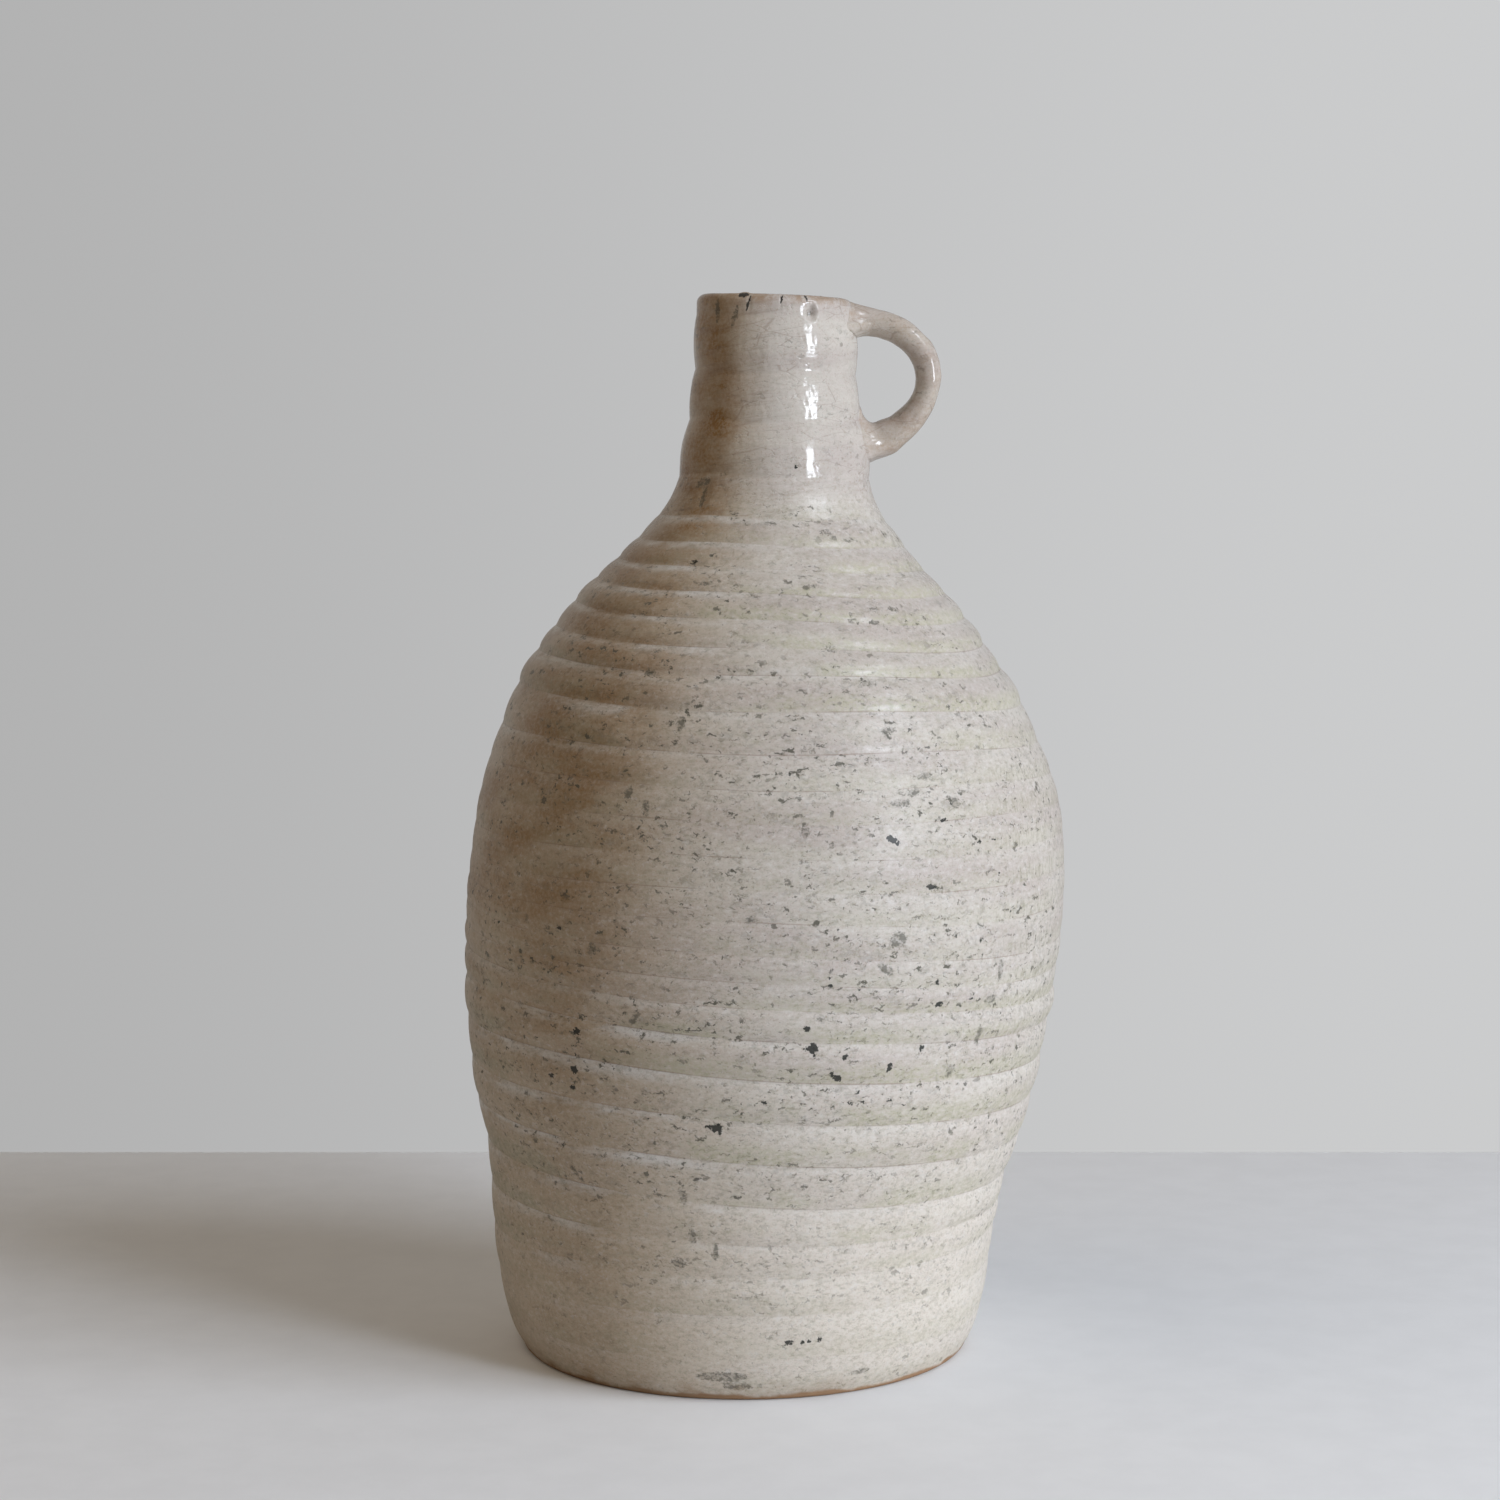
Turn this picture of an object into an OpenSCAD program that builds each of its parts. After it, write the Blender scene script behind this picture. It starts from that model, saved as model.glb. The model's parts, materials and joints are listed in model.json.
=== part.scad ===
// Wheel-thrown stoneware bottle vase with a one-finger loop handle at its neck.
// The origin is the centre of the foot's face. +Z is up, and the handle is on the +X side.

/* [Pot] */
// Height from the table to the top of the rim
height = 359.5; // [350:0.5:370]
// Diameter of the foot where it meets the table
foot_d = 152; // [148:1:156]
// Greatest diameter of the belly
belly_d = 204.5; // [200:0.5:210]
// Diameter of the neck under the rim
neck_d = 54; // [53:0.5:57]
// Diameter of the straight bore in the neck
bore_d = 41; // [39:0.5:42]

/* [Clay] */
// Thickness of the thrown wall
wall = 7; // [6:0.5:8]
// Thickness of the floor
floor_h = 9.5; // [8:0.5:11]
// Radius of the rounded outer edge of the lip
lip_r = 3.4; // [2.5:0.1:4]
// Radius of the coved corner between floor and wall
cove_r = 9; // [6:0.5:12]
// Width of the V-shaped tongue in each luted seam
tongue_w = 3; // [2:0.5:3.5]

/* [Throwing] */
// Depth of the throwing rings from crest to groove
ring_depth = 0.9; // [0.4:0.1:1.4]
// Height of one throwing ring at the foot
ring_low = 14; // [12:0.5:16]
// Height of one throwing ring at the top of the shoulder
ring_high = 8.8; // [7:0.2:11]
// Height of one of the broad rings on the neck
ring_neck = 17.7; // [15:0.1:20]
// Lean of the belly section, in degrees towards the handle
belly_lean = 3.6; // [0:0.2:4]
// Lean of the shoulder section, in degrees towards the handle
shoulder_lean = 1.4; // [0:0.2:2]

/* [Handle] */
// Width of the strap, across the loop
strap_w = 13; // [11:0.5:15]
// Thickness of the strap at the middle of the loop
strap_t = 9; // [8:0.5:10]
// Width of the strap at its two roots
root_w = 12; // [11:0.5:13]
// Thickness of the strap at its two roots
root_t = 10.2; // [9.6:0.2:11]

/* [Hidden] */
$fn = 96;

tall = height / 359.5;
wide = belly_d / 204.5;
slim = neck_d / 54;

// Heights of the luted seams
seam_foot = 57 * tall;
seam_belly = 160 * tall;
seam_shoulder = 286 * tall;

// Where the pot's axis stands at each seam, since each section leans on the one below
belly_x = 0.8;
shoulder_x = belly_x + (seam_belly - seam_foot) * tan(belly_lean);
neck_x = shoulder_x + (seam_shoulder - seam_belly) * tan(shoulder_lean);

// Outline of the pot without its rings, as [height, radius]
body_line = concat(
    [[0, foot_d / 2 + 0.2], [5 * tall, foot_d / 2 + 3.2]],
    [for (p = [
        [12, 81.8], [26, 84.3], [41, 86.7], [57, 88.2], [71, 90.6], [90, 95.3], [111, 99.2],
        [132, 101.3], [155, 102.25], [174, 101.2], [195, 97.6], [213, 91.3], [231, 83.2],
        [245, 73.6], [258, 63.6], [270, 52], [280, 42.8]
    ]) [p[0] * tall, p[1] * wide]],
    [for (p = [
        [289, 36.2], [298, 32.8], [309, 31.2], [321, 28.9], [333, 27.5], [345, 27.3], [359.5, 26.6]
    ]) [p[0] * tall, p[1] * slim]]
);

// Middle of the strap from its upper root to its lower one, from the neck's axis and the rim's top
strap_line = [
    [34.2, -9], [41, -10.5], [46.8, -14.5], [50.6, -19.5], [52.5, -25], [52.4, -31],
    [50.5, -36.6], [46.8, -41], [41.6, -45], [35.6, -47.7]
];

bore_bottom = 312 * tall;
bore_top = height - 5;
outline_step = 2;
tongue_h = 0.7 * tongue_w;
reach = 300;

// Smooth curve through a list of [position, value] points
function slope(line, i) =
    let (a = line[max(i - 1, 0)], b = line[min(i + 1, len(line) - 1)])
    (b[1] - a[1]) / (b[0] - a[0]);
function span(line, at) =
    max([for (i = [0 : len(line) - 2]) if (i == 0 || at >= line[i][0]) i]);
function curve(line, at) =
    let (
        i = span(line, at), a = line[i], b = line[i + 1], w = b[0] - a[0],
        t = min(max((at - a[0]) / w, 0), 1)
    )
    a[1] * (2 * t^3 - 3 * t^2 + 1) + b[1] * (3 * t^2 - 2 * t^3)
    + w * (slope(line, i) * (t^3 - 2 * t^2 + t) + slope(line, i + 1) * (t^3 - t^2));

// Throwing rings: round crests with sharp grooves, closer together towards the shoulder
ring_tighten = (1 / ring_high - 1 / ring_low) / (2 * seam_shoulder);
function ring_count(z) = z / ring_low + ring_tighten * z^2;
function ring(count) = ring_depth * (abs(sin(180 * count)) - 0.6);
function fade(z) = min(max((z - 6) / 12, 0), 1);
function body_r(z) = curve(body_line, z) + fade(z) * ring(ring_count(z));
function neck_r(z) = curve(body_line, z) + ring((z - 299 * tall) / ring_neck);

// Inside of the wall, which has no rings
function inner_r(z) = curve(body_line, z) - wall;

// A ring of thrown wall between two heights, on an axis that leans from a point at height z_low.
// It is thrown longer than needed and trimmed level at both ends.
module thrown_wall(z_low, z_high, axis_x, lean) {
    spare = belly_d / 2 * sin(lean) + outline_step;
    first = z_low - spare;
    last = z_high + spare;
    outer = [for (z = [first : outline_step : last]) [body_r(z), z]];
    inner = [for (z = [last : -3 * outline_step : first]) [inner_r(z), z]];
    intersection() {
        lean_at(axis_x, z_low, lean)
            rotate_extrude()
                polygon(concat(outer, inner));
        translate([-reach / 2, -reach / 2, z_low])
            cube([reach, reach, z_high - z_low]);
    }
}

module lean_at(x, z, lean) {
    translate([x, 0, z])
        rotate([0, lean, 0])
            translate([0, 0, -z])
                children();
}

// The V-shaped tongue of a luted seam: it stands on the lower piece, and the upper one is grooved for it
module tongue(axis_x, z, radius) {
    translate([axis_x, 0, z])
        rotate_extrude()
            polygon([[radius - tongue_w / 2, 0], [radius + tongue_w / 2, 0], [radius, tongue_h]]);
}

module floor_tongue() {
    tongue(0, floor_h, inner_r(floor_h) + wall / 2);
}

module foot_tongue() {
    tongue(belly_x / 2, seam_foot, inner_r(seam_foot) + wall / 2);
}

module belly_tongue() {
    tongue(shoulder_x, seam_belly, inner_r(seam_belly) + wall / 2);
}

module shoulder_tongue() {
    tongue(neck_x, seam_shoulder, inner_r(seam_shoulder) + wall / 2);
}

module base_slab() {
    edge = 1.5;
    side = [for (z = [edge : outline_step : floor_h]) [body_r(z), z]];
    color([0.72, 0.6, 0.48])
        union() {
            rotate_extrude()
                polygon(concat(
                    [[0, 0], [foot_d / 2 - edge, 0]], side, [[body_r(floor_h), floor_h], [0, floor_h]]
                ));
            floor_tongue();
        }
}

module foot_wall() {
    cove_x = inner_r(floor_h + cove_r) - cove_r;
    outer = [for (z = [floor_h : outline_step : seam_foot]) [body_r(z), z]];
    inner = [for (z = [seam_foot : -3 * outline_step : floor_h + cove_r + outline_step]) [inner_r(z), z]];
    cove = [for (a = [0 : -15 : -75])
        [cove_x + cove_r * cos(a), floor_h + cove_r * (1 + sin(a))]];
    color([0.80, 0.76, 0.70])
        union() {
            difference() {
                rotate_extrude()
                    polygon(concat(
                        outer, [[body_r(seam_foot), seam_foot]], inner, cove, [[cove_x, floor_h]]
                    ));
                floor_tongue();
            }
            foot_tongue();
        }
}

module belly_wall() {
    color([0.82, 0.78, 0.71])
        union() {
            difference() {
                thrown_wall(seam_foot, seam_belly, belly_x, belly_lean);
                foot_tongue();
            }
            belly_tongue();
        }
}

module shoulder_wall() {
    color([0.84, 0.79, 0.71])
        union() {
            difference() {
                thrown_wall(seam_belly, seam_shoulder, shoulder_x, shoulder_lean);
                belly_tongue();
            }
            shoulder_tongue();
        }
}

// Outline of the neck's outside up to the lip, and round the lip's outer edge
neck_side = [for (z = [seam_shoulder : outline_step : height - lip_r - 1]) [neck_r(z), z]];
lip_x = neck_r(height - lip_r) - lip_r;
lip_out = [for (a = [0 : 15 : 90]) [lip_x + lip_r * cos(a), height - lip_r + lip_r * sin(a)]];

module neck_core() {
    translate([neck_x, 0, 0])
        rotate_extrude()
            polygon(concat([[0, seam_shoulder]], neck_side, lip_out, [[0, height]]));
}

module neck_collar() {
    lip_in = height - bore_top;
    color([0.86, 0.82, 0.74])
        difference() {
            neck_core();
            // The straight bore
            translate([neck_x, 0, bore_bottom])
                cylinder(h = bore_top - bore_bottom, d = bore_d);
            // The throat, which opens to the shoulder
            translate([neck_x, 0, 0])
                rotate_extrude()
                    polygon([
                        [0, seam_shoulder - 1], [inner_r(seam_shoulder), seam_shoulder - 1],
                        [inner_r(seam_shoulder), seam_shoulder], [bore_d / 2 + 3.5, 296 * tall],
                        [bore_d / 2 + 1, 305 * tall], [bore_d / 2, bore_bottom], [0, bore_bottom]
                    ]);
            // The rounded inner edge of the lip
            translate([neck_x, 0, 0])
                rotate_extrude()
                    polygon(concat(
                        [[0, bore_top]],
                        [for (a = [0 : 15 : 75])
                            [bore_d / 2 + 3 * (1 - cos(a)), bore_top + lip_in * sin(a)]],
                        [[bore_d / 2 + 3, height + 1], [0, height + 1]]
                    ));
            shoulder_tongue();
        }
}

// The strap runs along strap_line, flat and wide, and thicker towards its two roots
strap_rings = 36;
strap_sides = 20;
function strap_point(t) =
    let (n = len(strap_line) - 1, s = t * n)
    [
        neck_x + curve([for (i = [0 : n]) [i, strap_line[i][0]]], s),
        height + curve([for (i = [0 : n]) [i, strap_line[i][1]]], s)
    ];
function strap_way(t) =
    let (d = strap_point(min(t + 0.01, 1)) - strap_point(max(t - 0.01, 0))) d / norm(d);
function strap_ring(t) =
    let (
        p = strap_point(t), d = strap_way(t), root = (2 * t - 1)^4,
        thick = strap_t + (root_t - strap_t) * root, broad = strap_w + (root_w - strap_w) * root
    )
    [for (k = [0 : strap_sides - 1])
        let (a = 360 * k / strap_sides, out = thick / 2 * cos(a), side = broad / 2 * sin(a))
        [p[0] - d[1] * out, side, p[1] + d[0] * out]];

module handle_strap() {
    rings = [for (i = [0 : strap_rings]) strap_ring(i / strap_rings)];
    skin = [for (i = [0 : strap_rings - 1], k = [0 : strap_sides - 1])
        let (a = i * strap_sides, b = a + strap_sides, next = (k + 1) % strap_sides)
        [a + k, a + next, b + next, b + k]];
    near_end = [[for (k = [strap_sides - 1 : -1 : 0]) k]];
    far_end = [[for (k = [0 : strap_sides - 1]) strap_rings * strap_sides + k]];
    color([0.85, 0.81, 0.73])
        polyhedron(points = [for (r = rings, p = r) p], faces = concat(skin, near_end, far_end));
}

// A wad of clay at the strap's end t, flared from the strap onto the neck.
// way is 1 if the neck lies ahead of the strap's end and -1 if it lies behind.
module root_pad(t, way, flare, depth) {
    p = strap_point(t);
    d = way * strap_way(t);
    face_r = root_w / 2;
    side = [for (a = [0 : 15 : 75])
        [face_r + flare * (1 - cos(a)), depth * sin(a)]];
    difference() {
        translate([p[0], 0, p[1]])
            rotate([0, 90 - atan2(d[1], d[0]), 0])
                rotate_extrude()
                    polygon(concat(
                        [[0, 0]], side, [[face_r + flare, depth], [0, depth]]
                    ));
        neck_core();
    }
}

module handle_top_pad() {
    color([0.83, 0.78, 0.69])
        root_pad(0, -1, 1, 11);
}

module handle_foot_pad() {
    color([0.83, 0.78, 0.69])
        root_pad(1, 1, 4.5, 9);
}

base_slab();
foot_wall();
belly_wall();
shoulder_wall();
neck_collar();
handle_strap();
handle_top_pad();
handle_foot_pad();
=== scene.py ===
"""A wheel-thrown stoneware bottle vase with a small loop handle, on a pale floor in soft window light.

Lengths are in millimetres until a mesh is made. A height on the pot's surface is measured along its own
rings, which tilt. In the tables an angle is in degrees round the pot, 0 at the camera (-Y) and 90 at the
handle (+X). In the functions it is in radians from +X.
"""

import json
import math

import bpy
import numpy as np
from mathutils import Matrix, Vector


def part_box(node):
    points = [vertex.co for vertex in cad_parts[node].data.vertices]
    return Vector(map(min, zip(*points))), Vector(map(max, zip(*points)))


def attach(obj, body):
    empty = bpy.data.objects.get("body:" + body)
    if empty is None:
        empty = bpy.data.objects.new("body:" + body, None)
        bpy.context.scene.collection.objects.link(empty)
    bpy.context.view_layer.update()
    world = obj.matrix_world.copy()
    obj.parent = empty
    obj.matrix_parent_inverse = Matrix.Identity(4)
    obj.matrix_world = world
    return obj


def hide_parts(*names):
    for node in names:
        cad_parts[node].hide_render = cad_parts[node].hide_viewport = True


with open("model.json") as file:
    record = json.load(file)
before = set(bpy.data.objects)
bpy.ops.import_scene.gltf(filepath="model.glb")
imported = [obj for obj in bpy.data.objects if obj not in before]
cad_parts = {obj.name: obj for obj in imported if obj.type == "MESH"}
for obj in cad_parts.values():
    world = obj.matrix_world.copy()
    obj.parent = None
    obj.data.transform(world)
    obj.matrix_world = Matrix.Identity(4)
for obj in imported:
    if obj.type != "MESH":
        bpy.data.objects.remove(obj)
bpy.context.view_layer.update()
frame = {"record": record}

MM = 0.001
rng = np.random.default_rng(41)

# ---------------------------------------------------------------- sizes from the frame

FLOOR_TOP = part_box("foot_wall")[0].z / MM
SEAM_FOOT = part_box("belly_wall")[0].z / MM
SEAM_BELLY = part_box("shoulder_wall")[0].z / MM
SEAM_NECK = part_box("neck_collar")[0].z / MM
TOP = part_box("neck_collar")[1].z / MM
NECK_X = (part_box("neck_collar")[0].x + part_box("neck_collar")[1].x) / 2 / MM
BORE_R = frame["record"]["mounts"][1]["dims"]["r_mm"]

# ---------------------------------------------------------------- shape of the pot

WALL = 7.0
COVE_R = 9  # where the wall meets the floor inside
EDGE_R = 1.6  # the foot's worn edge

# Outside radius without its rings, by height
OUTLINE = [
    (0, 76.2), (5, 79.2), (12, 81.9), (19, 83.6), (34, 85.8), (51, 87.6), (66, 89.4), (83, 94.1),
    (97, 97), (111, 99.2), (132, 101.2), (153, 102.3), (174, 101.2), (195, 97.6), (213, 91.3),
    (231, 83.2), (242.5, 75.6), (256, 65.3), (264, 58.1), (271, 50.9), (277, 45.4), (284.5, 39.2),
    (289, 36.1), (293, 34.1), (298, 32.7), (309, 31.1), (320, 28.9), (333, 27.5), (345, 27.3),
    (352, 27), (356, 26.7),
]
# Where the axis stands, by height, since each section leans on the one below
AXIS = [
    (0, 0), (45, 0), (65, 0.8), (90, 2.4), (118, 4.2), (146, 6.5), (162, 7.7), (195, 8.8),
    (216, 8.7), (249, 8.8), (284, 9.8), (300, NECK_X), (TOP, NECK_X),
]
# How far the rings tilt down towards the handle, in degrees, by height
TILT = [
    (0, 0), (40, 0), (60, 3.1), (100, 3.4), (150, 3.2), (165, 1.8), (205, 1.7), (225, 2.2),
    (280, 2.2), (300, 1), (335, 1), (352, 2), (TOP, 2),
]
# Each groove between two throwing rings, and how far the ring above it stands out
RINGS = [
    (2, 0.12), (14, 0.25), (29.5, 0.45), (43, 0.6), (54.5, 0.8), (67.5, 0.8), (82, 0.85), (96, 0.95),
    (110, 1.1), (123, 0.85), (133, 0.6), (141, 0.42), (149.5, 0.32), (160, 0.22), (170, 0.18),
    (180.5, 0.2), (191.5, 0.22), (202, 0.38), (213, 0.75), (226, 1.1), (237, 1.15), (245, 1.15),
    (253.5, 1.1), (261.5, 1.1), (269, 1.0), (276.5, 0.85), (285, 0.55), (299, 0.8), (318, 0.9),
    (334, 0.75), (352, 0.3), (TOP + 8, 0.3),
]
GROOVE_AT = np.array([ring[0] for ring in RINGS])
RING_OUT = np.array([ring[1] for ring in RINGS])
GROOVE_SHARE = 0.28  # how deep a groove is, as a share of the rings beside it
RING_SHAPE = 2.3  # higher is flatter on top
FINGER_SHARE = 0.4  # how much a ring swells and shrinks round the pot
RING_SWAY = 0.8  # how far a ring strays up and down

# The outside goes up to LIP_AT, and the lip rolls over the top and into the bore in the next LIP_REACH
LIP_AT = TOP - 3.4
LIP_REACH = 10.0

# Dents and bumps: angle, height, half width, half height and depth inwards
DENTS = [
    # the pit under the lip and the clay pushed up beside it
    (26.5, 353.6, 1.9, 2.3, 1.6),
    (31, 355.5, 1.6, 2.2, -0.4),
    (26, 350.4, 2.4, 1.0, -0.3),
    # nicks in the rim and the shoulder
    (-25, 360, 1.9, 1.8, 1.3),
    (-19, 357, 0.8, 3.0, 0.25),
    (4, 359.5, 0.45, 3.5, 0.3),
    (40, 359.5, 0.45, 3.5, 0.3),
    (-42, 293, 2.0, 6, 0.3),
    # shallow knocks from handling the wet clay
    (-28, 222, 9, 7, 0.5),
    (12, 178, 14, 5, -0.25),
    (-5, 30, 16, 8, 0.35),
    (150, 120, 18, 9, 0.4),
    (-140, 200, 15, 8, 0.45),
    (100, 60, 14, 7, 0.35),
]


def unit(vectors):
    """Each vector with its length made 1."""
    return vectors / np.linalg.norm(vectors, axis=-1, keepdims=True)


def from_front(angle):
    """The functions' angle for one of the tables'."""
    return math.radians(angle - 90)


def curve(points, at):
    """The value at each place of a smooth curve through (place, value) points."""
    x, y = np.array(points, float).T
    slope = np.gradient(y, x)
    at = np.clip(at, x[0], x[-1])
    i = np.clip(np.searchsorted(x, at, side="right") - 1, 0, len(x) - 2)
    gap = x[i + 1] - x[i]
    t = (at - x[i]) / gap
    first = (2 * t**3 - 3 * t**2 + 1) * y[i] + (t**3 - 2 * t**2 + t) * gap * slope[i]
    return first + (3 * t**2 - 2 * t**3) * y[i + 1] + (t**3 - t**2) * gap * slope[i + 1]


def outline(height):
    """The outside radius at each height, without the rings."""
    return curve(OUTLINE, np.array(height, float))


def make_waves(count, most_turns, size):
    """Random waves round and up the pot: most_turns round it at most, and no shorter than size in height."""
    turn = 2 * math.pi
    return [
        (rng.integers(0, most_turns + 1), rng.uniform(-1, 1) * turn / size, rng.uniform(0, turn))
        for _ in range(count)
    ]


def waves(kind, angle, height):
    """A smooth random field that closes on itself round the pot. 1.4 brings its usual peaks to about 1."""
    total = sum(np.cos(turns * angle + up * height + phase) for turns, up, phase in kind)
    return total * math.sqrt(2 / len(kind)) / 1.4


SWAY = make_waves(12, 4, 60)
SWELL = make_waves(10, 3, 90)
FINGER = make_waves(14, 7, 1.9)
KNOCK = make_waves(30, 16, 22)
GRAIN = make_waves(60, 90, 5)
STROKE = make_waves(24, 5, 2.6)
# The waves on the skin, and how high each kind is
UNEVEN = [(SWELL, 0.22), (KNOCK, 0.09), (GRAIN, 0.022), (STROKE, 0.02)]


def ring_count(height, angle):
    """How many grooves lie below this place, with its share of the ring it's on."""
    wandering = height + RING_SWAY * waves(SWAY, angle, height)
    return np.interp(wandering, GROOVE_AT, np.arange(len(GROOVE_AT)))


def relief(height, angle):
    """How far the surface stands off its outline: rings, dents and the marks of the fingers."""
    count = ring_count(height, angle)
    i = np.clip(count.astype(int), 0, len(RINGS) - 2)
    t = count - i
    below = RING_OUT[np.maximum(i - 1, 0)]
    here = RING_OUT[i]
    above = RING_OUT[i + 1]
    groove = -GROOVE_SHARE * ((below + here) * (1 - t) + (here + above) * t)
    swelling = 1 + FINGER_SHARE * waves(FINGER, angle, i.astype(float))
    out = groove + here * swelling * (1 - np.abs(2 * t - 1) ** RING_SHAPE)
    for kind, size in UNEVEN:
        out = out + size * waves(kind, angle, height)
    for at, z, half_w, half_h, depth in DENTS:
        turn = (angle - from_front(at) + math.pi) % (2 * math.pi) - math.pi
        across = turn * outline(z)
        far = (across / half_w) ** 2 + ((height - z) / half_h) ** 2
        out = out - depth * np.exp(-(far**1.5))
    return out


# Radius of the hollow by height, from the neck's seam up through the throat to the straight bore
THROAT = [
    (SEAM_NECK, outline(SEAM_NECK) - WALL), (296, BORE_R + 3.6), (305, BORE_R + 1), (313, BORE_R),
    (TOP, BORE_R),
]


def inside_radius(height):
    """Radius of the hollow: the wall's thickness in from the outline, and the throat above it.

    The cove takes it in at the floor, and 0.99 keeps the cove from ending dead flat.
    """
    radius = np.where(height > SEAM_NECK, curve(THROAT, height), outline(height) - WALL)
    cove = np.clip((FLOOR_TOP + COVE_R - height) / COVE_R, 0, 1)
    return radius - COVE_R * (1 - np.sqrt(1 - cove**2 * 0.99))


def place(radius, height, angle):
    """Points for a radius and a height along the rings, with the pot's lean and its rings' tilt."""
    tilt = np.tan(np.radians(curve(TILT, height)))
    across = radius * np.cos(angle)
    return np.stack([curve(AXIS, height) + across, radius * np.sin(angle), height - tilt * across], -1)


def skin(way, angle):
    """A point of the pot's skin. way is the height up the outside to LIP_AT, then goes on over the lip."""
    turn = np.clip((way - LIP_AT) / LIP_REACH, 0, 1) * math.pi
    half = (outline(LIP_AT) - BORE_R) / 2
    on_lip = BORE_R + half * (1 + np.cos(turn))
    height = np.minimum(way, LIP_AT) + (TOP - LIP_AT) * np.sin(turn)
    radius = np.where(way > LIP_AT, on_lip, outline(way))
    bump = relief(height, angle)
    # The relief fades over the lip, and turns there from outward to downward
    sunk = np.where(way > LIP_AT, 1 - 0.75 * np.sin(turn / 2), 1)
    out = bump * sunk * np.cos(turn / 2) ** 0.5
    down = 0.5 * bump * np.sin(turn / 2)
    return place(radius + out, height - down, angle)


# Marks listed one by one: angle, height above the table, half width, half height, turn in degrees
IRON_SPOTS = [
    (-35, 123, 1.4, 1.1, 20), (-36, 110, 1.6, 1.3, -20), (8.5, 127, 1.2, 0.9, 0),
    (10, 120.5, 1.7, 1.7, 30), (10.3, 118.8, 0.6, 1.4, 0), (8.6, 120.4, 0.9, 0.5, 30),
    (16, 117.5, 1.1, 0.9, 40), (15, 110.5, 1.7, 1.2, -25), (13.8, 112, 0.7, 1.0, 0),
    (25, 113, 0.9, 1.8, -12), (31.5, 118, 0.8, 1.1, 0), (2, 103, 1.0, 0.7, 0), (18, 102, 0.8, 0.6, 0),
    (20.5, 102, 0.9, 0.5, 0), (26, 102, 1.1, 0.5, 10), (28, 102.3, 0.6, 0.4, 0), (34, 132, 1.6, 0.9, 15),
    (33, 139, 0.8, 1.1, 40), (12, 140.5, 0.8, 0.6, 0), (11.8, 143.2, 0.7, 0.5, 0),
    (29.5, 134.3, 1.1, 0.45, -10), (36.5, 153.5, 1.2, 0.4, 15), (43, 151, 1.1, 0.5, 12),
    (-6.2, 93.9, 0.8, 2.1, 8), (-6.9, 94.2, 1.3, 1.3, 0), (-8, 94.4, 1.9, 0.6, 0), (10, 21, 1.4, 1.0, 0),
    (13, 21, 0.9, 0.7, 0), (14.6, 21, 0.7, 0.7, 0), (17, 21.3, 0.8, 0.9, 0), (22.5, 186, 2.2, 1.1, -28),
    (23.6, 184.7, 0.8, 1.0, 0), (34, 191, 1.6, 0.6, 8), (42, 183, 0.9, 0.5, 10),
    (-24.5, 359.2, 2.0, 1.3, 0), (-36, 118, 0.5, 0.5, 0), (-35.5, 115, 0.5, 0.8, 0),
    (-36.5, 104, 1.3, 0.8, 0), (47, 172, 0.7, 0.5, 0), (-14, 270, 0.8, 0.5, 0),
    (-30, 271.5, 2.0, 0.6, 10), (12, 302.5, 0.5, 0.6, 0), (-19.5, 356.5, 0.4, 2.8, -14),
    (4.5, 357.6, 0.35, 1.6, 0), (23.5, 358.2, 0.35, 1.6, 8),
]
# Those past 60 degrees either way are on the sides and the back
SMUDGES = [
    (26.3, 353.4, 0.9, 1.1, 0), (-1.5, 5.5, 5, 1.6, -4), (28, 8, 4, 0.9, 6), (-43, 293, 1.0, 5.5, 6),
    (-46, 297, 3.0, 1.6, 20), (-30, 352, 0.8, 4, -12), (-46, 354, 1.0, 4, 0), (22, 145, 3.2, 1.5, -32),
    (24, 154, 3.0, 2.4, 20), (25, 219.5, 3.0, 1.0, 8), (23, 234, 2.6, 1.2, 0), (12.5, 264, 3.0, 0.9, 5),
    (-29, 237, 2.4, 1.2, 0), (-19, 222, 1.2, 2.6, 0), (-23, 129, 1.2, 2.6, -35), (-38, 75, 0.8, 3.2, 35),
    (-36.5, 72, 0.6, 1.6, 0), (26.5, 75, 2.2, 0.5, 25), (-5, 9, 9, 1.8, 0), (28, 200, 2.6, 1.0, 12),
    (31, 205, 3.6, 0.9, 6), (25, 197, 3.6, 1.1, 0), (37, 196, 2.4, 1.6, 0), (-13, 70, 1.3, 2.4, 10),
    (-11, 57, 1.2, 2.8, 0), (-6, 52, 1.0, 2.6, 0), (-14, 48, 2.2, 1.6, 0), (45, 120, 1.2, 3.4, 0),
    (49, 140, 1.2, 3.6, 0), (47, 131, 3.0, 1.4, 10), (39, 109, 1.4, 2.2, -20), (-28, 200, 1.4, 2.4, 0),
    (-24, 196, 1.2, 2.6, 10), (6, 189, 1.4, 1.6, 0), (-32, 150, 2.4, 1.0, 0), (-3, 162, 1.6, 1.0, 20),
    (-22, 265, 3.4, 0.7, 6), (-2, 284, 2.6, 0.7, 0), (24, 281, 2.6, 0.7, -8), (120, 90, 2.4, 1.2, 20),
    (160, 140, 1.4, 2.6, 0), (-150, 110, 3.0, 1.2, 12), (-110, 180, 2.6, 1.4, -20),
    (170, 210, 2.2, 1.0, 0), (-95, 70, 1.4, 2.8, 15), (140, 40, 3.4, 1.4, 0), (-165, 240, 2.4, 0.8, 0),
]
MARK_REACH = 6.0  # how far from a mark its distance is still worked out


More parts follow.
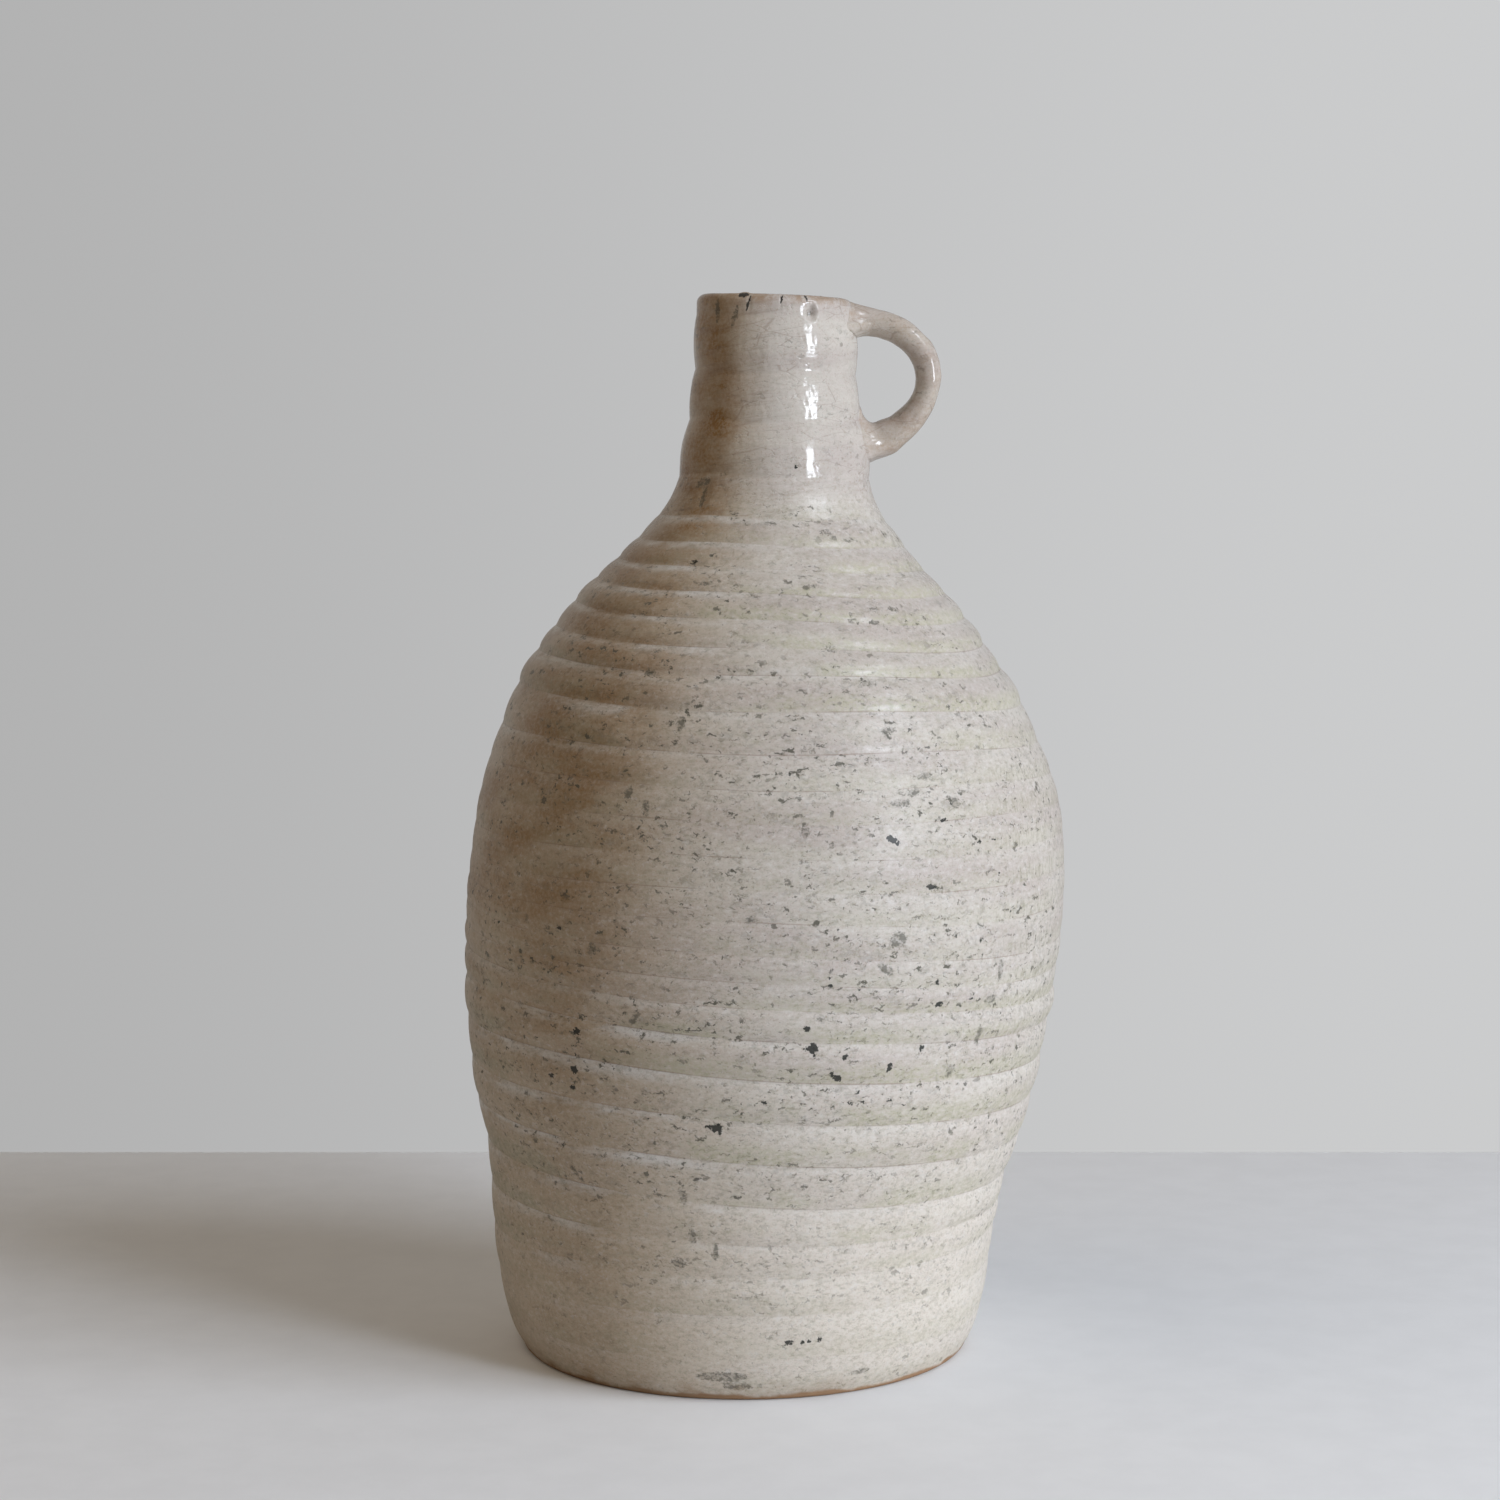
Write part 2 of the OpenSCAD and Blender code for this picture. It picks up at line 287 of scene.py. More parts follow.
def mark_place(angle, height):
    """A mark's middle on the skin, and the directions across and up the skin there."""
    a = from_front(angle)
    lean = np.tan(np.radians(curve(TILT, np.array(float(height)))))
    h = float(height + lean * outline(height) * math.cos(a))
    here, beside, above = skin(np.array([h, h, h + 1]), np.array([a, a + 0.01, a]))
    across = unit(beside - here)
    up = above - here - across * np.dot(above - here, across)
    return here, across, unit(up)


def mark_distance(points, marks):
    """How far each point lies outside the nearest mark's edge, and below zero within one."""
    least = np.full(len(points), MARK_REACH)
    for angle, height, half_w, half_h, turn in marks:
        here, across, up = mark_place(angle, height)
        away = points - here
        reach = np.linalg.norm(away, axis=-1)
        near = reach < MARK_REACH + 2 * max(half_w, half_h)
        away = away[near]
        c = math.cos(math.radians(turn))
        s = math.sin(math.radians(turn))
        x = away @ (c * across + s * up) / half_w
        y = away @ (c * up - s * across) / half_h
        deep = away @ np.cross(across, up) / 2
        share = np.sqrt(x**2 + y**2 + deep**2) + 1e-3
        least[near] = np.minimum(least[near], reach[near] * (1 - 1 / share))
    return least


def skin_normals(way, angle, step):
    """Directions straight out of the skin along one row, from the rows a step below and above it."""
    row = way + 0 * angle
    up = skin(row + step, angle) - skin(row - step, angle)
    turn = skin(row, angle + 0.01) - skin(row, angle - 0.01)
    return unit(np.cross(turn, up))


# ---------------------------------------------------------------- meshes

COLUMNS = 512
EVEN = np.linspace(-math.pi, math.pi, COLUMNS, endpoint=False)
# The angles of the columns of points, closer together on the side that faces the camera
AROUND = EVEN - 0.35 * np.cos(EVEN)
INSIDE_STEP = 3
LIP_ROWS = 24
BORE_ROWS = 42
# The ridges that the fingers leave inside: their height, and their spacing over 2 pi
RIPPLE = 0.35
RIPPLE_STEP = 1.8


def mesh_object(name, verts, faces, flat, ring, seams):
    """One closed mesh, smooth but for the faces in flat. ring is each vertex's groove count, for the glaze.

    seams are (first vertex, normals) of the rows shared with the next piece, so that the two shade as one.
    """
    verts = np.asarray(verts)
    mesh = bpy.data.meshes.new(name)
    mesh.from_pydata((verts * MM).tolist(), [], faces)
    smooth = np.ones(len(faces), bool)
    smooth[list(flat)] = False
    mesh.polygons.foreach_set("use_smooth", smooth)
    fields = {"ring": ring, "iron": mark_distance(verts, IRON_SPOTS), "smudge": mark_distance(verts, SMUDGES)}
    for field, values in fields.items():
        mesh.attributes.new(field, "FLOAT", "POINT").data.foreach_set("value", np.asarray(values, np.float32))
    mesh.validate()
    normals = np.zeros((len(verts), 3))
    for first, row in seams:
        normals[first:first + len(row)] = row
    mesh.normals_split_custom_set_from_vertices(normals.tolist())
    obj = bpy.data.objects.new(name, mesh)
    bpy.context.collection.objects.link(obj)
    return obj


def grid_faces(rows, columns, closed=False):
    """Quads between rows of points that go round, each row above the last."""
    k = np.arange(columns)
    nxt = (k + 1) % columns
    faces = []
    for i in range(rows if closed else rows - 1):
        a = i * columns
        b = (i + 1) % rows * columns
        faces.extend(np.stack([a + k, a + nxt, b + nxt, b + k], -1).tolist())
    return faces


def fan_faces(rows, columns):
    """Triangles that close the first and the last row, each to its own middle point after all the rows."""
    k = np.arange(columns)
    nxt = (k + 1) % columns
    last = (rows - 1) * columns
    middle = rows * columns
    first_fan = np.stack([nxt, k, np.full(columns, middle)], -1)
    last_fan = np.stack([last + k, last + nxt, np.full(columns, middle + 1)], -1)
    return first_fan.tolist() + last_fan.tolist()


def thrown_piece(name, up, down, inner, joints, seams):
    """A ring of clay with rows up its outside and down its inside. joints are the rows that end at a seam."""
    points = np.concatenate([skin(up, AROUND + 0 * up), inner]).reshape(-1, 3)
    faces = grid_faces(len(up) + len(down), COLUMNS, closed=True)
    flat = [row * COLUMNS + k for row in joints for k in range(COLUMNS)]
    count = np.concatenate([ring_count(np.minimum(up, TOP), AROUND), ring_count(down, AROUND)])
    return mesh_object(name, points, faces, flat, count.ravel(), seams)


def wall_piece(name, low, high, step):
    """A ring of wall between two seams, outside and inside."""
    up = np.linspace(low, high, int((high - low) / step) + 2)[:, None]
    down = np.linspace(high, low, int((high - low) / INSIDE_STEP) + 2)[:, None]
    above_floor = np.clip((down - FLOOR_TOP - 10) / 10, 0, 1)
    ripple = RIPPLE * np.sin(down / RIPPLE_STEP + AROUND) * above_floor
    inner = place(inside_radius(down) + ripple, down, AROUND + 0 * down)
    top = len(up) - 1
    bottom = len(up) + len(down) - 1
    seams = [(0, skin_normals(low, AROUND, step)), (top * COLUMNS, skin_normals(high, AROUND, step))]
    return thrown_piece(name, up, down, inner, [top, bottom], seams)


def neck_piece(name, low, step):
    """The neck: up the outside, over the lip and down the bore."""
    lip = np.linspace(LIP_AT, LIP_AT + LIP_REACH, LIP_ROWS)
    up = np.concatenate([np.arange(low, LIP_AT, step), lip])[:, None]
    down = np.linspace(LIP_AT - 1, low, BORE_ROWS)[:, None]
    inner = place(inside_radius(down), down, AROUND + 0 * down)
    bottom = len(up) + len(down) - 1
    return thrown_piece(name, up, down, inner, [bottom], [(0, skin_normals(low, AROUND, step))])


STAND_R = 70  # the foot stands on a ring from here out, and is hollowed within it
TURNING_STEP = 1.1  # the spacing of the underside's turning marks over 2 pi


def underside():
    """Radii and heights of the underside's rows, from its middle to the worn edge."""
    hollowed = np.linspace(2, STAND_R - 2, 34)
    standing = np.linspace(STAND_R, outline(EDGE_R) - EDGE_R - 0.4, 6)
    hollow = 0.7 * np.clip((STAND_R - hollowed) / 4, 0, 1) - 0.12 * np.cos(hollowed / TURNING_STEP)
    height = np.concatenate([np.maximum(hollow, 0.05), 0 * standing])
    return np.concatenate([hollowed, standing]), height


def floor_piece(name, high):
    """The floor of the pot: its bare underside, its edge up to the first seam, and the floor inside."""
    under_r, under_z = underside()
    turn = np.linspace(-math.pi / 2, 0, 8)
    side = np.linspace(EDGE_R, high, 11)[1:]
    floor_r = np.linspace(inside_radius(high) + 3, 2, 30)
    floor_z = high + RIPPLE * np.sin(floor_r / RIPPLE_STEP)
    edge_r = outline(EDGE_R) - EDGE_R + EDGE_R * np.cos(turn)
    radius = np.concatenate([under_r, edge_r, outline(side), floor_r])[:, None]
    height = np.concatenate([under_z, EDGE_R + EDGE_R * np.sin(turn), side, floor_z])[:, None]
    # The rings and dents grow in over the worn edge, and none are underneath or inside
    weight = np.concatenate([0 * under_r, np.linspace(0, 1, len(turn)), np.ones(len(side)), 0 * floor_r])
    bump = relief(height + 0 * AROUND, AROUND + 0 * height) * weight[:, None]
    points = place(radius + bump, height, AROUND).reshape(-1, 3)
    verts = np.concatenate([points, [[0, 0, under_z[0]], [0, 0, high]]])
    faces = grid_faces(len(radius), COLUMNS) + fan_faces(len(radius), COLUMNS)
    top = (len(under_r) + len(turn) + len(side) - 1) * COLUMNS
    count = np.append(ring_count(height + 0 * AROUND, AROUND + 0 * height), [0.5, 0.5])
    seams = [(top, skin_normals(high, AROUND, 1.0))]
    return mesh_object(name, verts, faces, range(top, top + COLUMNS), count, seams)


# ---------------------------------------------------------------- handle

# Middle of the strap from its upper root to its lower one: along X, height, thickness and width
STRAP = [
    (43.6, 350.9, 9.5, 12.5), (47.5, 349.9, 9.1, 12.3), (52.8, 347.7, 9.4, 12.4),
    (58.2, 343.5, 9.3, 12.6), (61.3, 338.9, 8.9, 12.4), (62.6, 333.8, 8.5, 12), (62.3, 329, 8.4, 11.8),
    (60.4, 323.7, 8.7, 11.9), (57.2, 319.2, 9.3, 12.2), (53, 315.3, 10.5, 12.8), (48.6, 312.6, 12.2, 13.6),
]
STRAP_X, STRAP_Z, STRAP_THICK, STRAP_WIDE = (
    list(zip(np.linspace(0, 1, len(STRAP)), column, strict=True)) for column in zip(*STRAP, strict=True)
)
STRAP_ROWS = 110
PAD_ROWS = 30
STRAP_SIDES = 64
STRAP_AROUND = np.linspace(0, 2 * math.pi, STRAP_SIDES, endpoint=False)
PLUMP = 0.92  # 1 is an oval, and lower is squarer
LUMP_PHASE = rng.uniform(0, 2 * math.pi, (26, 2))[:, 0]
LUMP_WAY = rng.normal(0, 1, (26, 3))

# Where each root's middle is on the neck, how far it's smeared up, down and to each side,
# how long the fillet under it is against the one above, and how thick the thumb left its edge
UPPER_ROOT = {"at": 351.5, "above": 7.8, "below": 5.2, "beside": 13, "under": 0.3, "edge": 0.2}
LOWER_ROOT = {"at": 311.5, "above": 12.5, "below": 8.0, "beside": 11.5, "under": 0.8, "edge": 0.3}


def lumpy(points, size):
    """A smooth random field in space, about 1 high, with lumps of this size."""
    total = 0
    for phase, way in zip(LUMP_PHASE, LUMP_WAY, strict=True):
        total = total + np.cos(points @ (way * 2.2 / size) + phase)
    return total / math.sqrt(len(LUMP_PHASE))


def strap_frame(t):
    """Middle, direction and outward direction at shares t of the way along the strap."""
    before = np.clip(t - 1e-3, 0, 1)
    after = np.clip(t + 1e-3, 0, 1)
    run = curve(STRAP_X, after) - curve(STRAP_X, before)
    rise = curve(STRAP_Z, after) - curve(STRAP_Z, before)
    along = unit(np.stack([run, 0 * t, rise], -1))
    out = np.stack([-along[..., 2], 0 * t, along[..., 0]], -1)
    return np.stack([curve(STRAP_X, t), 0 * t, curve(STRAP_Z, t)], -1), along, out


def oval(wave):
    """A cosine or sine wave made a little squarer."""
    return np.sign(wave) * np.abs(wave) ** PLUMP


def strap_rings(t):
    """Rings of points round the strap at shares t of its way. A ring is a rounded flat oval."""
    middle, _, out = strap_frame(t)
    centre = middle[:, None, :]
    up = curve(STRAP_THICK, t)[:, None] / 2 * oval(np.cos(STRAP_AROUND))
    side = curve(STRAP_WIDE, t)[:, None] / 2 * oval(np.sin(STRAP_AROUND))
    points = centre + out[:, None, :] * up[..., None] + np.array([0, -1, 0]) * side[..., None]
    lumps = 0.2 * lumpy(points, 9) + 0.07 * lumpy(points + 40, 3.5)
    return points + unit(points - centre) * lumps[..., None]


def strap_normals(t):
    """Directions straight out of the strap round the ring at share t."""
    before, after = strap_rings(np.clip(np.array([t - 0.004, t + 0.004]), 0, 1))
    ring = strap_rings(np.array([t]))[0]
    out = unit(np.cross(np.roll(ring, -1, 0) - np.roll(ring, 1, 0), after - before))
    return out * np.sign(np.sum(out * (ring - ring.mean(0))))


def closed_tube(name, rings, seams):
    """A closed mesh from rings of points, with each end closed by a fan to its middle."""
    rows, sides = rings.shape[:2]
    verts = np.concatenate([rings.reshape(-1, 3), [rings[0].mean(0)], [rings[-1].mean(0)]])
    faces = grid_faces(rows, sides)
    ends = fan_faces(rows, sides)
    flat = range(len(faces), len(faces) + len(ends))
    return mesh_object(name, verts, faces + ends, flat, np.full(len(verts), 0.5), seams)


def pad_rings(end, at, above, below, beside, under, edge):
    """Rings of the wad of clay at the strap's first (0) or last (1) end, smeared out over the neck's skin."""
    way = 2 * end - 1
    ring = strap_rings(np.array([end]))[0]
    along = strap_frame(np.array([end]))[1][0] * way
    up = -way * np.cos(STRAP_AROUND)
    rise = np.where(up > 0, above, below) * up
    spread = -np.sin(STRAP_AROUND) * beside / outline(at)
    wavy = 1 + 0.06 * np.cos(3 * STRAP_AROUND + at) + 0.04 * np.cos(7 * STRAP_AROUND + 2 * at)
    where = at + rise * wavy
    turn = spread * wavy
    foot = skin(where, turn)
    middle_way = at + 0.35 * rise
    middle_turn = 0.35 * spread
    nearer = skin(middle_way + 0.72 * (where - middle_way), middle_turn + 0.72 * (turn - middle_turn))
    inward = np.stack([-np.cos(turn), -np.sin(turn), 0 * turn], -1)

    # Each line of points leaves the strap straight, and comes down along the neck's skin
    gap = np.linalg.norm(foot - ring, axis=-1, keepdims=True)
    fillet = np.where(up > 0, 1.0, under)[:, None]
    share = np.linspace(0, 1, PAD_ROWS)[:, None, None]
    one = ring + along * gap * 0.5 * fillet
    two = foot + (nearer - foot) * fillet
    rings = (
        (1 - share) ** 3 * ring + 3 * (1 - share) ** 2 * share * one
        + 3 * (1 - share) * share**2 * two + share**3 * foot
    )
    # The thumb leaves a low edge, which sinks just under the skin, and the last ring is buried in the wall
    thumb_edge = edge * np.exp(-(((share - 0.78) / 0.10) ** 2))
    rings = rings + inward * (0.35 * share**6 - thumb_edge)
    buried = foot + inward * 2.2 + (skin(middle_way, middle_turn) - foot) * 0.25
    return np.concatenate([rings, buried[None]])


def pad_piece(name, end, root):
    """The wad of clay that joins one end of the strap to the neck."""
    rings = pad_rings(end, **root)
    seam = 0
    if end == 0.0:
        rings = rings[::-1]
        seam = (len(rings) - 1) * STRAP_SIDES
    return closed_tube(name, rings, [(seam, strap_normals(end))])


def strap_piece(name):
    """The strap between its two roots."""
    ends = [(0, strap_normals(0.0)), ((STRAP_ROWS - 1) * STRAP_SIDES, strap_normals(1.0))]
    return closed_tube(name, strap_rings(np.linspace(0, 1, STRAP_ROWS)), ends)


# ---------------------------------------------------------------- glaze


class Tree:
    """A material's node tree, with short calls for the nodes that the materials use."""

    def __init__(self, name):
        self.material = bpy.data.materials.new(name)
        self.material.use_nodes = True
        self.tree = self.material.node_tree
        self.shader = self.tree.nodes["Principled BSDF"]

    def put(self, socket, value):
        if isinstance(value, bpy.types.NodeSocket):
            self.tree.links.new(value, socket)
        else:
            socket.default_value = value

    def node(self, kind, inputs, **settings):
        made = self.tree.nodes.new(kind)
        for key, value in settings.items():
            setattr(made, key, value)
        for key, value in inputs.items():
            self.put(made.inputs[key], value)
        return made

    def field(self, name):
        return self.node("ShaderNodeAttribute", {}, attribute_name=name).outputs["Fac"]

    def position(self):
        return self.node("ShaderNodeTexCoord", {}).outputs["Object"]

    def math(self, operation, a, b=0.0, c=0.0, clamp=False):
        inputs = {0: a, 1: b, 2: c}
        return self.node("ShaderNodeMath", inputs, operation=operation, use_clamp=clamp).outputs[0]

    def times(self, first, *others):
        for other in others:
            first = self.math("MULTIPLY", first, other)
        return first

    def plus(self, first, *others):
        for other in others:
            first = self.math("ADD", first, other)
        return first

    def minus(self, a, b):
        return self.math("SUBTRACT", a, b)

    def most(self, a, b):
        return self.math("MAXIMUM", a, b)

    def rising(self, value, low, rise):
        """low where the value is 0, and more by rise where it's 1."""
        return self.math("MULTIPLY_ADD", value, rise, c=low)

    def vector(self, operation, a, b=(0.0, 0.0, 0.0)):
        return self.node("ShaderNodeVectorMath", {0: a, 1: b}, operation=operation).outputs[0]

    def scaled(self, vector, by):
        return self.vector("MULTIPLY", vector, by)

    def part(self, vector, axis):
        return self.node("ShaderNodeSeparateXYZ", {0: vector}).outputs[axis]

    def step(self, value, start, end, low=0.0, high=1.0):
        """low at start and high at end, with a smooth step between."""
        if start > end:
            start, end, low, high = end, start, high, low
        inputs = {0: value, 1: start, 2: end, 3: low, 4: high}
        return self.node("ShaderNodeMapRange", inputs, interpolation_type="SMOOTHSTEP").outputs[0]

    def mix(self, share, a, b):
        a, b = (tuple(c) + (1,) if isinstance(c, tuple) else c for c in (a, b))
        return self.node("ShaderNodeMix", {0: share, 6: a, 7: b}, data_type="RGBA").outputs[2]

    def noise(self, vector, size, detail=2.0, rough=0.5):
        inputs = {"Vector": vector, "Scale": 1 / size, "Detail": detail, "Roughness": rough}
        return self.node("ShaderNodeTexNoise", inputs).outputs[0]

    def cells(self, vector, size, feature="F1"):
        return self.node("ShaderNodeTexVoronoi", {"Vector": vector, "Scale": 1 / size}, feature=feature)


# Linear colours
CREAM = (0.560, 0.512, 0.458)
ROSE = (0.500, 0.440, 0.402)
PALE = (0.660, 0.635, 0.605)
OLIVE = (0.435, 0.412, 0.285)
MOSS = (0.300, 0.272, 0.195)
BUFF = (0.690, 0.625, 0.545)
TAN = (0.450, 0.340, 0.215)
UMBER = (0.330, 0.230, 0.155)
SAGE = (0.430, 0.445, 0.350)
OCHRE = (0.265, 0.142, 0.050)
PEPPER = (0.098, 0.092, 0.070)
IRON = (0.018, 0.020, 0.018)
RUST = (0.215, 0.140, 0.105)
CLAY = (0.300, 0.185, 0.105)

# How much positions shrink sideways, so that noise comes out drawn round the pot
WIDE = (0.6, 0.6, 1.0)
WIDER = (0.4, 0.4, 1.0)
STREAKY = (0.2, 0.2, 1.0)
THREADY = (0.07, 0.07, 1.0)


class Glaze(Tree):
    """A glaze's node tree, with the places that its layers depend on. Each layer goes over self.colour."""

    def __init__(self, name):
        super().__init__(name)
        self.at = self.scaled(self.position(), (1 / MM,) * 3)
        self.height = self.part(self.at, 2)
        self.wide = self.scaled(self.at, WIDE)
        self.streaky = self.scaled(self.at, STREAKY)
        self.groove = self.math("PINGPONG", self.field("ring"), 0.5)
        self.up_ring = self.math("FRACT", self.field("ring"))
        # 1 below the neck's seam and 0 on the glossy neck
        self.dull = self.step(self.height, SEAM_NECK, SEAM_NECK + 20, 1.0, 0.0)
        # How clearly the rings show: less round the belly and near the foot
        ringed = self.most(self.step(self.height, 150, 122, 0.15, 1.0), self.step(self.height, 195, 225))
        self.ringed = self.times(ringed, self.step(self.height, 15, 75, 0.15, 1.0))
        # How far this place faces the handle's side, from -1 to 1
        spoke = self.scaled(self.vector("SUBTRACT", self.at, (NECK_X, 0, 0)), (1, 1, 0))
        self.facing = self.part(self.vector("NORMALIZE", spoke), 0)
        # Positions pushed about at random, so that spots come out ragged
        warp = self.node("ShaderNodeTexNoise", {"Vector": self.at, "Scale": 1 / 1.7, "Detail": 2.0})
        shift = self.vector("SUBTRACT", warp.outputs["Color"], (0.5, 0.5, 0.5))
        self.bent = self.vector("ADD", self.scaled(shift, (2.4, 2.4, 2.4)), self.wide)

    def lay(self, share, colour):
        self.colour = self.mix(share, self.colour, colour)


def lay_ground_and_painted_shade(t):
    """Cream with rosy grey clouds, buff near the foot, and tan on the left as painted warm shade on the side
    away from the lights.
    """
    t.colour = t.mix(t.step(t.noise(t.streaky, 15, 4, 0.6), 0.40, 0.64), CREAM, ROSE)
    t.lay(t.step(t.height, 145, 25, 0.0, 0.74), BUFF)
    # Tan on the left, away from the lights, is painted warm shade
    t.lay(t.step(t.facing, 0.1, -0.75, 0.0, 0.66), TAN)


def lay_brows_and_painted_highlight(t):
    """Pale glaze high on each ring, most of it on the left. On the shaded left it is also a painted highlight
    on the rings' upward-facing flanks.
    """
    brow = t.times(t.step(t.up_ring, 0.60, 0.92), t.step(t.noise(t.streaky, 7, 4, 0.7), 0.38, 0.64))
    t.brow = t.times(brow, t.ringed, t.dull)
    # Strongest on the shaded left, where the pale band is also a painted highlight on the upward-facing
    # flanks
    t.lay(t.times(t.brow, t.step(t.facing, 0.1, -0.5, 0.26, 0.95)), PALE)


def lay_grain(t):
    """Fine grains, brown and grey-green, and a coarser mottle, dark and pale."""
    hue = t.noise(t.at, 0.75, 2, 0.8)
    t.lay(t.step(hue, 0.50, 0.70, 0.0, 0.34), UMBER)
    t.lay(t.step(hue, 0.50, 0.30, 0.0, 0.30), SAGE)
    mottle = t.noise(t.wide, 1.5, 4, 0.75)
    t.lay(t.times(t.step(mottle, 0.49, 0.66), t.rising(t.dull, 0.18, 0.24)), MOSS)
    t.lay(t.times(t.step(mottle, 0.47, 0.32), t.rising(t.dull, 0.15, 0.30)), PALE)


def lay_hollows(t):
    """Yellow-olive bands in the hollows between the rings, broken into granules, and darker on the left. The
    darker moss on the left is painted shade on the rings' downward-facing flanks.
    """
    patches = t.plus(t.noise(t.scaled(t.at, WIDER), 20, 3, 0.6), t.step(t.facing, -0.6, 0.8, -0.04, 0.07))
    band = t.times(t.step(t.up_ring, 0.66, 0.25), t.step(patches, 0.42, 0.56), t.most(t.ringed, 0.4))
    granules = t.step(t.noise(t.wide, 1.3, 3, 0.7), 0.40, 0.58, 0.25, 1.0)
    olive = t.times(band, granules, t.step(t.height, 300, 265))
    t.lay(t.times(olive, 0.62), OLIVE)
    # Moss on the shaded left is painted shade
    t.lay(t.times(olive, t.step(t.facing, -0.25, -0.65, 0.0, 0.55)), MOSS)


def lay_hatching(t):
    """Short upright strokes in the hollows below the handle."""
    strokes = t.step(t.noise(t.scaled(t.at, (1.5, 1.5, 0.28)), 1.5, 2, 0.6), 0.50, 0.66)
    hatch = t.times(strokes, t.step(t.up_ring, 0.75, 0.35), t.step(t.facing, 0.62, 0.86))
    hatch = t.times(hatch, t.step(t.height, 90, 105), t.step(t.height, 225, 195))
    t.lay(t.times(hatch, 0.55), MOSS)


def lay_flashing_and_painted_shade(t, flashed):
    """Ochre flashing, strongest on the side away from the handle and above the belly. On that side, away from
    the lights, it is partly real flashing and partly painted warm shade.
    """
    # The side away from the handle is the shaded side, so there the ochre is also painted warm shade
    side = t.step(t.facing, -0.28, -0.66, flashed, 1.0)
    above = t.plus(t.step(t.height, 60, 200, 0.30, 1.0), t.step(t.height, 270, 310, 0.0, 0.3))
    clouds = t.step(t.noise(t.scaled(t.at, WIDER), 13, 5, 0.65), 0.34, 0.66, 0.22, 1.0)
    grains = t.step(t.noise(t.at, 1.2, 3, 0.7), 0.34, 0.62, 0.55, 1.0)
    flash_and_shade = t.times(side, above, clouds, grains, t.rising(t.brow, 1.0, -0.7))
    t.lay(t.times(flash_and_shade, 0.84), OCHRE)


def lay_rim(t):
    """Brown where the glaze runs thin over the rim."""
    thin = t.times(t.step(t.height, TOP - 5, TOP - 0.5), t.step(t.noise(t.at, 5, 4, 0.7), 0.40, 0.62))
    t.lay(t.times(thin, 0.60), OCHRE)


def specks(t, vector, size, radius, share, ragged):
    """Spots of one kind: a share of the cells of this size hold a spot of up to this radius.

    ragged is how uneven a spot's outline is, where 0 is round.
    """
    cell = t.cells(vector, size)
    chance = t.node("ShaderNodeSeparateColor", {0: cell.outputs["Color"]}).outputs[0]
    rough_edge = t.times(t.minus(t.noise(vector, radius * 1.1, 2), 0.5), ragged)
    far = t.plus(t.math("DIVIDE", cell.outputs["Distance"], radius / size), rough_edge)
    own = t.step(chance, 1 - share, 1.0)
    spot = t.step(t.math("DIVIDE", far, t.plus(own, 0.02)), 1.0, 0.65)
    return t.times(spot, t.math("GREATER_THAN", chance, 1 - share))


def lay_iron(t):
    """Iron in patches, fewer near the neck and the foot: dust, dashes, curls, blots and bold spots."""
    crowd = t.plus(t.noise(t.wide, 15, 3, 0.6), t.step(t.height, 290, 225, 0.01, 0.11))
    crowd = t.step(crowd, 0.40, 0.68, 0.15, 1.0)
    crowd = t.times(crowd, t.step(t.height, 15, 110, 0.45, 1.0))
    dust = t.times(t.step(t.noise(t.bent, 1.3, 2, 0.6), 0.57, 0.72), 0.50)
    dust = t.most(dust, t.times(specks(t, t.bent, 2.4, 0.50, 0.55, 0.8), 0.70))
    curl = t.math("ABSOLUTE", t.minus(t.noise(t.bent, 2.8, 1, 0.5), 0.5))
    cluster = t.step(t.noise(t.wide, 3.6, 2, 0.5), 0.46, 0.62)
    curl = t.times(t.step(curl, 0.085, 0.015), cluster, 0.24)
    dash = specks(t, t.scaled(t.bent, (0.55, 0.55, 1.3)), 2.8, 0.52, 0.5, 0.9)
    dust = t.most(dust, t.times(dash, 0.60))
    t.blot = t.times(t.step(t.noise(t.bent, 2.2, 2, 0.6), 0.595, 0.70), 0.92)
    t.dark = t.times(t.most(dust, t.most(curl, t.blot)), crowd, t.rising(t.dull, 0.5, 0.5))
    t.lay(t.dark, PEPPER)
    spots = t.most(specks(t, t.bent, 9.0, 1.2, 0.42, 1.1), specks(t, t.bent, 4.4, 0.64, 0.30, 1.0))
    spots = t.times(spots, t.step(t.height, 250, 190, 0.30, 0.92), crowd, t.rising(t.dull, 0.25, 0.75))
    t.lay(spots, IRON)


def lay_crazing(t, line):
    """Slanting brown streaks on the glossy neck, heavier on its shaded left, where they are also painted
    shade. Gives back the hairlines with the neck's fine cracks.
    """
    slant = t.node("ShaderNodeMapping", {"Vector": t.at, "Rotation": (0, 0.5, 0), "Scale": (0.8, 0.8, 2.6)})
    slant = slant.outputs[0]
    crack = t.cells(slant, 13, "DISTANCE_TO_EDGE").outputs["Distance"]
    patches = t.step(t.noise(t.at, 9, 2), 0.42, 0.58)
    crack = t.times(t.step(crack, 0.022, 0.004), patches, t.minus(1.0, t.dull))
    streak = t.step(t.noise(t.scaled(slant, (0.16, 0.16, 0.75)), 3.2, 4, 0.65), 0.50, 0.72)
    # Heavier on the shaded left, where the streaks are also painted shade
    t.lay(t.times(streak, t.step(t.facing, 0.5, -0.6, 0.12, 0.42)), RUST)
    return t.most(line, t.times(crack, 0.75))


